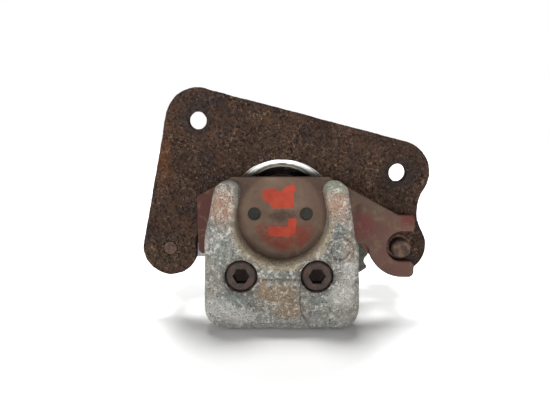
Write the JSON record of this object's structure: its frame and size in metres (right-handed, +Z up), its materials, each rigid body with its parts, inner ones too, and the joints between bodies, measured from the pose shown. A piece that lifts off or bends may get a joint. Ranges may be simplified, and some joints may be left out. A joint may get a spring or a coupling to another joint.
{
  "type": "brake caliper",
  "caption": "Floating brake caliper: a flat bracket carries two guide pins, a housing with a piston, a bolted claw, two hooked pads, boots and a bleed screw.",
  "frame": {"origin": "midway between the two bracket bolt holes, on the bracket's mounting face, which is the face on the claw's side", "axes": "+Z up as the caliper stands on its bridge; +Y from the claw towards the cylinder, along the disc's axis; +X to the right seen from the claw's side"},
  "size_m": [0.1644, 0.1077, 0.1326],
  "materials": {
    "rusted_steel": "rusted, pitted, matt",
    "pin_steel": "rusted at the ends, worn bright in the middle",
    "cast_aluminium_claw": "rough casting, stained",
    "cast_aluminium_housing": "rough casting with machined faces",
    "rusted_screw": "rusted",
    "bush_bronze": "dull",
    "plated_steel": "zinc plated, dull",
    "rubber_boot": "matt",
    "rubber_cap": "matt",
    "pad_plate_paint": "worn paint over rusty steel",
    "friction_lining": "rough",
    "piston_chrome": "satin"
  },
  "bodies": {
    "bracket": {"bracket_plate": "rusted_steel", "guide_pin_left": "pin_steel", "guide_pin_right": "pin_steel"},
    "caliper_body": {"cylinder_housing": "cast_aluminium_housing", "claw": "cast_aluminium_claw", "bridge_screws": "rusted_screw", "guide_bush_left": "bush_bronze", "guide_bush_right": "bush_bronze", "guide_cap_left": "plated_steel", "guide_cap_right": "plated_steel", "guide_boot_left": "rubber_boot", "guide_boot_right": "rubber_boot", "piston_seal": "rubber_boot", "piston_dust_boot": "rubber_boot", "boot_ring": "plated_steel"},
    "front_pad": {"front_pad_plate": "pad_plate_paint", "front_pad_lining": "friction_lining"},
    "rear_pad": {"rear_pad_plate": "pad_plate_paint", "rear_pad_lining": "friction_lining"},
    "piston": {"piston": "piston_chrome"},
    "bleeder": {"bleeder_screw": "plated_steel"},
    "bleeder_cap": {"bleeder_cap": "rubber_cap"}
  },
  "joints": [
    {"name": "caliper_float", "type": "slide", "parent": "bracket", "child": "caliper_body", "axis": [0, 1, 0], "range_m": [-0.001, 0.002], "deforming": ["guide_boot_left", "guide_boot_right"]},
    {"name": "front_pad_slide", "type": "slide", "parent": "bracket", "child": "front_pad", "axis": [0, 1, 0], "range_m": [-0.001, 0.002]},
    {"name": "piston_travel", "type": "slide", "parent": "caliper_body", "child": "piston", "axis": [0, -1, 0], "range_m": [0, 0.008], "deforming": ["piston_dust_boot"]},
    {"name": "rear_pad_slide", "type": "slide", "parent": "caliper_body", "child": "rear_pad", "axis": [0, -1, 0], "range_m": [0, 0.008]},
    {"name": "bleeder_turn", "type": "hinge", "parent": "caliper_body", "child": "bleeder", "pos_m": [-0.0091, 0.0531, 0], "axis": [0, 0, 1], "range_deg": [0, 180]},
    {"name": "bleeder_cap_pull", "type": "slide", "parent": "bleeder", "child": "bleeder_cap", "axis": [0, 0, 1], "range_m": [0, 0.014]}
  ],
  "couplings": [
    {"joint": "front_pad_slide", "follows": "caliper_float", "ratio": 1},
    {"joint": "rear_pad_slide", "follows": "piston_travel", "ratio": 1}
  ]
}
